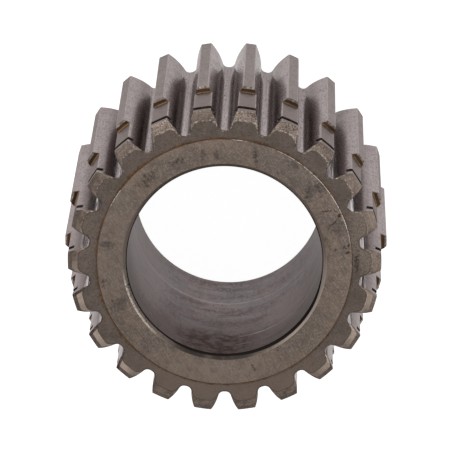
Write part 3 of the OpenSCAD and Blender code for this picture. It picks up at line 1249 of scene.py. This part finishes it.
# %% The chamfer at the mouth of the bore
def bore_mouth():
    material, tree, shader, point, at = new_finish("worn_and_lit_bore_mouth", 0.8, 0.42)
    cloud = clouds(tree, point, 2.5, 0.5, 0.12)
    above = side(tree, at, 0.3, 2.7, 0.3)
    left = side(tree, at, -3.1, -2.2, 0.15)
    plain = tint(tree, cloud["Mask"], (0.3, 0.24, 0.2), (0.22, 0.175, 0.145))
    darker_below = scaled(tree, patches(tree, point, 3.0, 0.6, 0.15), 0.35, 0.6)
    darker_below = times(tree, side(tree, at, -2.1, -1.2, 0.2), darker_below)
    lit = times(tree, side(tree, at, -0.95, 0.1, 0.2), patches(tree, point, 5.0, 0.8, 0.15))
    chips = times(tree, patches(tree, point, 0.55, 0.42, 0.05), left)
    tone = coats(
        tree,
        (0.34, 0.275, 0.235),
        (side(tree, at, -2.5, 2.5, 0.3), 1.0, plain),
        (patches(tree, point, 0.8, 0.42, 0.06), 0.6, (0.46, 0.38, 0.32)),
        (darker_below, 1.0, (0.07, 0.058, 0.051)),
        (side(tree, at, -1.76, -1.71, 0.05), 0.45, (0.34, 0.27, 0.225)),
        (lit, 0.9, (0.7, 0.59, 0.51)),
        (side(tree, at, 1.2, 2.4, 0.3), 0.5, (0.07, 0.042, 0.028)),
        (side(tree, at, 0.0, 1.0, 0.2), 0.6, (0.44, 0.355, 0.3)),
        # Painted light on the left side
        (left, 0.7, (0.38, 0.31, 0.265)),
        (chips, 1.0, (0.05, 0.04, 0.034)),
        (low_left_highlight(tree, point, at), 0.95, (0.95, 0.83, 0.73)),
    )
    # The black line at the foot is dirt with painted shade
    foot_dirt_and_shade = tint(tree, above, (0.028, 0.022, 0.02), (0.06, 0.034, 0.021))
    feed(tree, shader.inputs["Base Color"], tint(tree, clear_of_foot_shade(tree, at, above), foot_dirt_and_shade, tone))
    roughen(tree, shader, cloud["Tone"], 0.03 * MM)
    return material


give("bore_mouth", bore_mouth())

# %% [markdown]
# ## The wall of the bore
#
# The bore was honed, so its fine lines go round, and a shaft has polished a few narrow rings in it.
# Towards the mouth the wall is browner and darker, and its sides differ. Lines that are wrapped round
# the axis need a vector whose Z is the length of the arc, because noise in plain space would cross them.

# %% The polished rings
POLISHED_RINGS = [
    # height, half width, strength, start and end round the axis
    (24.0, 0.45, 0.8, -4.0, 4.0),
    (39.0, 0.25, 0.3, -4.0, 4.0),
    (58.5, 0.45, 1.0, -1.35, -0.2),
    (66.0, 0.3, 0.6, -1.45, -0.75),
    (57.5, 0.3, 0.5, -3.0, -2.3),
]


def polished_rings(tree, at, smears):
    """A coat for each ring."""
    made = []
    for height, width, strength, start, end in POLISHED_RINGS:
        off_ring = calc(tree, "ABSOLUTE", calc(tree, "SUBTRACT", at["Height"], height))
        line = times(
            tree,
            ramp(tree, off_ring, 0.0, width, 1.0, 0.0),
            ramp(tree, smears, 0.4, 0.6, 1.0, 0.4),
            side(tree, at, start, end, 0.2),
        )
        made.append((line, strength, (0.66, 0.58, 0.57)))
    return made


# %% The wall of the bore
def bore_wall():
    material, tree, shader, point, at = new_finish("honed_bore", 0.85, 0.34, (0.3, 0.27, 0.265))
    round_vector = round_axis(tree, at, bore_radius)
    smears = tool_lines(tree, round_vector, 4.5, 20.0)
    fine = tool_lines(tree, round_vector, 0.6, 11.0)
    grain = clouds(tree, along_axis(tree, point, 0.4), 0.7, 0.42, 0.06)
    sooty = mark(tree, point, (-4, -30, 66), (15, 8, 14), 0.3)
    sooty = times(tree, sooty, scaled(tree, patches(tree, point, 2.6, 0.5, 0.1), 0.6, 0.35))
    feed(tree, shader.inputs["Base Color"], coats(
        tree,
        (0.34, 0.292, 0.29),
        (patches(tree, point, 13.0, 0.5, 0.12), 1.0, (0.31, 0.298, 0.305)),
        (ramp(tree, smears, 0.5, 0.66), 0.6, (0.15, 0.125, 0.122)),
        (ramp(tree, smears, 0.36, 0.48, 1.0, 0.0), 0.4, (0.42, 0.39, 0.395)),
        (patches(tree, along_axis(tree, point), 1.6, 0.42, 0.12), 0.4, (0.15, 0.125, 0.122)),
        (patches(tree, point, 5.0, 0.45, 0.1), 0.3, (0.17, 0.142, 0.138)),
        (ramp(tree, fine, 0.52, 0.7), 0.3, (0.13, 0.11, 0.108)),
        (ramp(tree, fine, 0.3, 0.44, 1.0, 0.0), 0.2, (0.5, 0.47, 0.475)),
        (grain["Mask"], 0.5, (0.12, 0.1, 0.098)),
        (ramp(tree, grain["Tone"], 0.52, 0.6), 0.45, (0.5, 0.455, 0.455)),
        (ramp(tree, at["Height"], 20.0, 72.0), 0.62, (0.115, 0.095, 0.092)),
        (mark(tree, point, (-25, -15, 30), (9, 15, 36), 0.4), 0.5, (0.46, 0.42, 0.42)),
        (mark(tree, point, (19, -22, 48), (9, 9, 16), 0.5), 0.4, (0.36, 0.315, 0.305)),
        (sooty, 1.0, (0.085, 0.068, 0.064)),
        *polished_rings(tree, at, smears),
        (pits(tree, along_axis(tree, point), 2.4, 0.15), 0.8, (0.04, 0.033, 0.031)),
        (ramp(tree, at["Height"], foot_z - 0.4, foot_z), 1.0, (0.022, 0.018, 0.016)),
    ))
    roughen(tree, shader, scaled(tree, grain["Tone"], 2.0, fine), 0.004 * MM)
    return material


give("bore_wall", bore_wall())

# %% [markdown]
# ## Repeating the tooth
#
# Twenty-two copies made by hand would be hard to change. A Geometry Nodes tree makes a point for each
# tooth, sets the sector on it with its own turn, joins the copies where their sides meet, and gives
# each machined surface its finish.


# %% The finishes by surface
def set_finishes(tree, shape):
    """Gives each face the finish of the surface that it belongs to."""
    surface = node(tree, "GeometryNodeInputNamedAttribute", {"Name": "surface"}, data_type="INT").outputs[0]
    for number, name in enumerate(SURFACES):
        chosen = node(tree, "FunctionNodeCompare", {}, data_type="INT", operation="EQUAL")
        feed(tree, chosen.inputs[2], surface)
        feed(tree, chosen.inputs[3], number)
        shape = node(tree, "GeometryNodeSetMaterial", {
            "Geometry": shape, "Selection": chosen.outputs[0], "Material": finishes[name],
        }).outputs[0]
    return shape


# %% The tree that makes the gear
def gear_tree():
    tree = bpy.data.node_groups.new("gear_from_sector", "GeometryNodeTree")
    for label, kind in (("Geometry", "Geometry"), ("Teeth", "Int"), ("Join Distance", "Float")):
        tree.interface.new_socket(label, in_out="INPUT", socket_type=f"NodeSocket{kind}")
    tree.interface.new_socket("Geometry", in_out="OUTPUT", socket_type="NodeSocketGeometry")
    given = tree.nodes.new("NodeGroupInput").outputs
    result = tree.nodes.new("NodeGroupOutput").inputs

    points = node(tree, "GeometryNodePoints", {"Count": given["Teeth"]}).outputs[0]
    pitch = calc(tree, "DIVIDE", 2 * pi, given["Teeth"])
    number = tree.nodes.new("GeometryNodeInputIndex").outputs[0]
    turn = node(tree, "FunctionNodeAxisAngleToRotation", {"Angle": calc(tree, "MULTIPLY", number, pitch)})
    teeth = node(tree, "GeometryNodeInstanceOnPoints", {
        "Points": points, "Instance": given["Geometry"], "Rotation": turn.outputs[0],
    })
    real = node(tree, "GeometryNodeRealizeInstances", {"Geometry": teeth.outputs[0]})
    joined = node(tree, "GeometryNodeMergeByDistance", {
        "Geometry": real.outputs[0], "Distance": given["Join Distance"],
    })
    feed(tree, result["Geometry"], set_finishes(tree, joined.outputs[0]))
    return tree


# %% Run the tree and keep a plain mesh
def set_inputs(modifier, values):
    """Sets a modifier's inputs by the identifiers of their sockets."""
    for item in modifier.node_group.interface.items_tree:
        if item.in_out == "INPUT" and item.name in values:
            modifier[item.identifier] = values[item.name]


JOIN_DISTANCE = 0.002 * MM

modifier = tooth_sector.modifiers.new("gear", "NODES")
modifier.node_group = gear_tree()
set_inputs(modifier, {"Teeth": TEETH, "Join Distance": JOIN_DISTANCE})
bpy.context.view_layer.update()
depsgraph = bpy.context.evaluated_depsgraph_get()
gear_mesh = bpy.data.meshes.new_from_object(tooth_sector.evaluated_get(depsgraph), depsgraph=depsgraph)
gear = bpy.data.objects.new("dressed_sun_gear", gear_mesh)
bpy.context.scene.collection.objects.link(gear)
bpy.data.objects.remove(tooth_sector)

SHARP_FROM = radians(24)

gear_mesh.shade_smooth()
gear_mesh.set_sharp_from_angle(angle=SHARP_FROM)
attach(gear, "root")
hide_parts("sun_gear")
print(f"the gear has {len(gear_mesh.polygons)} faces and {len(gear_mesh.materials)} materials")

# %% [markdown]
# ## The studio
#
# Polished flanks show what is round them, so the surroundings matter as much as the lamps. The gear
# stands on a pale floor in soft grey air, as in a light tent. A floor bright enough to look white would
# also light the steel from below. So the Light Path node shows a white floor to the camera and to the
# mirror-like surfaces alone, and what it lights stays plain.


# %% The floor's material
def white_for_eyes(tree, bright, plain):
    """Chooses between what is seen, in a mirror too, and what only gives light."""
    path = tree.nodes.new("ShaderNodeLightPath").outputs
    seen = calc(tree, "MAXIMUM", path["Is Camera Ray"], path["Is Glossy Ray"])
    seen = calc(tree, "MAXIMUM", seen, path["Is Transmission Ray"])
    return node(tree, "ShaderNodeMixShader", {0: seen, 1: plain, 2: bright}).outputs[0]


def floor_material():
    material = bpy.data.materials.new("pale_floor")
    material.use_nodes = True
    tree = material.node_tree
    tree.nodes.clear()
    paper = node(tree, "ShaderNodeBsdfDiffuse", {"Color": (0.8, 0.8, 0.8)}).outputs[0]
    shadowed = node(tree, "ShaderNodeBsdfDiffuse", {"Color": (0.35, 0.35, 0.35)}).outputs[0]
    glow = node(tree, "ShaderNodeEmission", {"Color": (1, 1, 1), "Strength": 0.95}).outputs[0]
    bright = node(tree, "ShaderNodeAddShader", {0: shadowed, 1: glow}).outputs[0]
    output = tree.nodes.new("ShaderNodeOutputMaterial")
    feed(tree, output.inputs["Surface"], white_for_eyes(tree, bright, paper))
    return material


# %% Floor and air
FLOOR_HALF = 3.0
AIR_STRENGTH = 0.5

floor_mesh = bpy.data.meshes.new("floor")
floor_corners = [(-1, -1), (1, -1), (1, 1), (-1, 1)]
floor_mesh.from_pydata([(x * FLOOR_HALF, y * FLOOR_HALF, 0) for x, y in floor_corners], [], [(0, 1, 2, 3)])
floor_mesh.materials.append(floor_material())
floor = bpy.data.objects.new("floor", floor_mesh)
bpy.context.scene.collection.objects.link(floor)

world = bpy.data.worlds.new("light_tent")
bpy.context.scene.world = world
world.use_nodes = True
world.node_tree.nodes.clear()
soft_air = node(world.node_tree, "ShaderNodeBackground", {"Color": (1, 1, 1), "Strength": AIR_STRENGTH})
world_output = world.node_tree.nodes.new("ShaderNodeOutputWorld")
feed(world.node_tree, world_output.inputs["Surface"], soft_air.outputs[0])
print(f"the floor is {2 * FLOOR_HALF:.0f} m wide")


# %% Lamps
def softbox(name, place, size, power):
    """A square lamp that faces the gear."""
    lamp = bpy.data.lights.new(name, "AREA")
    lamp.size = size
    lamp.energy = power
    box = bpy.data.objects.new(name, lamp)
    turned_to_gear = place.to_track_quat("Z", "Y").to_matrix().to_4x4()
    box.matrix_world = Matrix.Translation(place) @ turned_to_gear
    bpy.context.scene.collection.objects.link(box)
    print(f"{name}: {power} W, {place.length:.2f} m away")


softbox("key_lamp", Vector((-0.4, 0.95, 0.9)), 0.6, 10)
softbox("fill_lamp", Vector((0.9, 0.0, 0.8)), 0.6, 4)

# %% [markdown]
# ## The camera
#
# The picture looks at the front end of the gear from a long way off, a little from the side that is up
# in the picture. The camera's place was fitted to the outline of the teeth, so it is written down as
# the point that it looks at, its distance, its two angles and its roll.

# %% Camera
VIEW_TARGET = Vector((0.5, 11.4, 76.8)) * MM
VIEW_DISTANCE = 1405.9 * MM
VIEW_RISE = radians(73.70)
VIEW_SIDE = radians(86.18)
VIEW_ROLL = radians(-0.07)
FOCAL_PIXELS = 4708.8
PICTURE = 452

back = Vector((cos(VIEW_RISE) * cos(VIEW_SIDE), cos(VIEW_RISE) * sin(VIEW_SIDE), sin(VIEW_RISE)))
right = Vector((0, 1, 0)).cross(back).normalized()
turned = Matrix((right, back.cross(right), back)).transposed().to_4x4()
lens = bpy.data.cameras.new("camera")
lens.sensor_width = 36
lens.lens = FOCAL_PIXELS * lens.sensor_width / PICTURE
lens.clip_end = 10
camera = bpy.data.objects.new("camera", lens)
camera.matrix_world = (
    Matrix.Translation(VIEW_TARGET + back * VIEW_DISTANCE) @ turned @ Matrix.Rotation(VIEW_ROLL, 4, "Z")
)
bpy.context.scene.collection.objects.link(camera)
bpy.context.scene.camera = camera
bpy.context.scene.view_settings.view_transform = "Standard"
print(f"a lens of {lens.lens:.0f} mm")
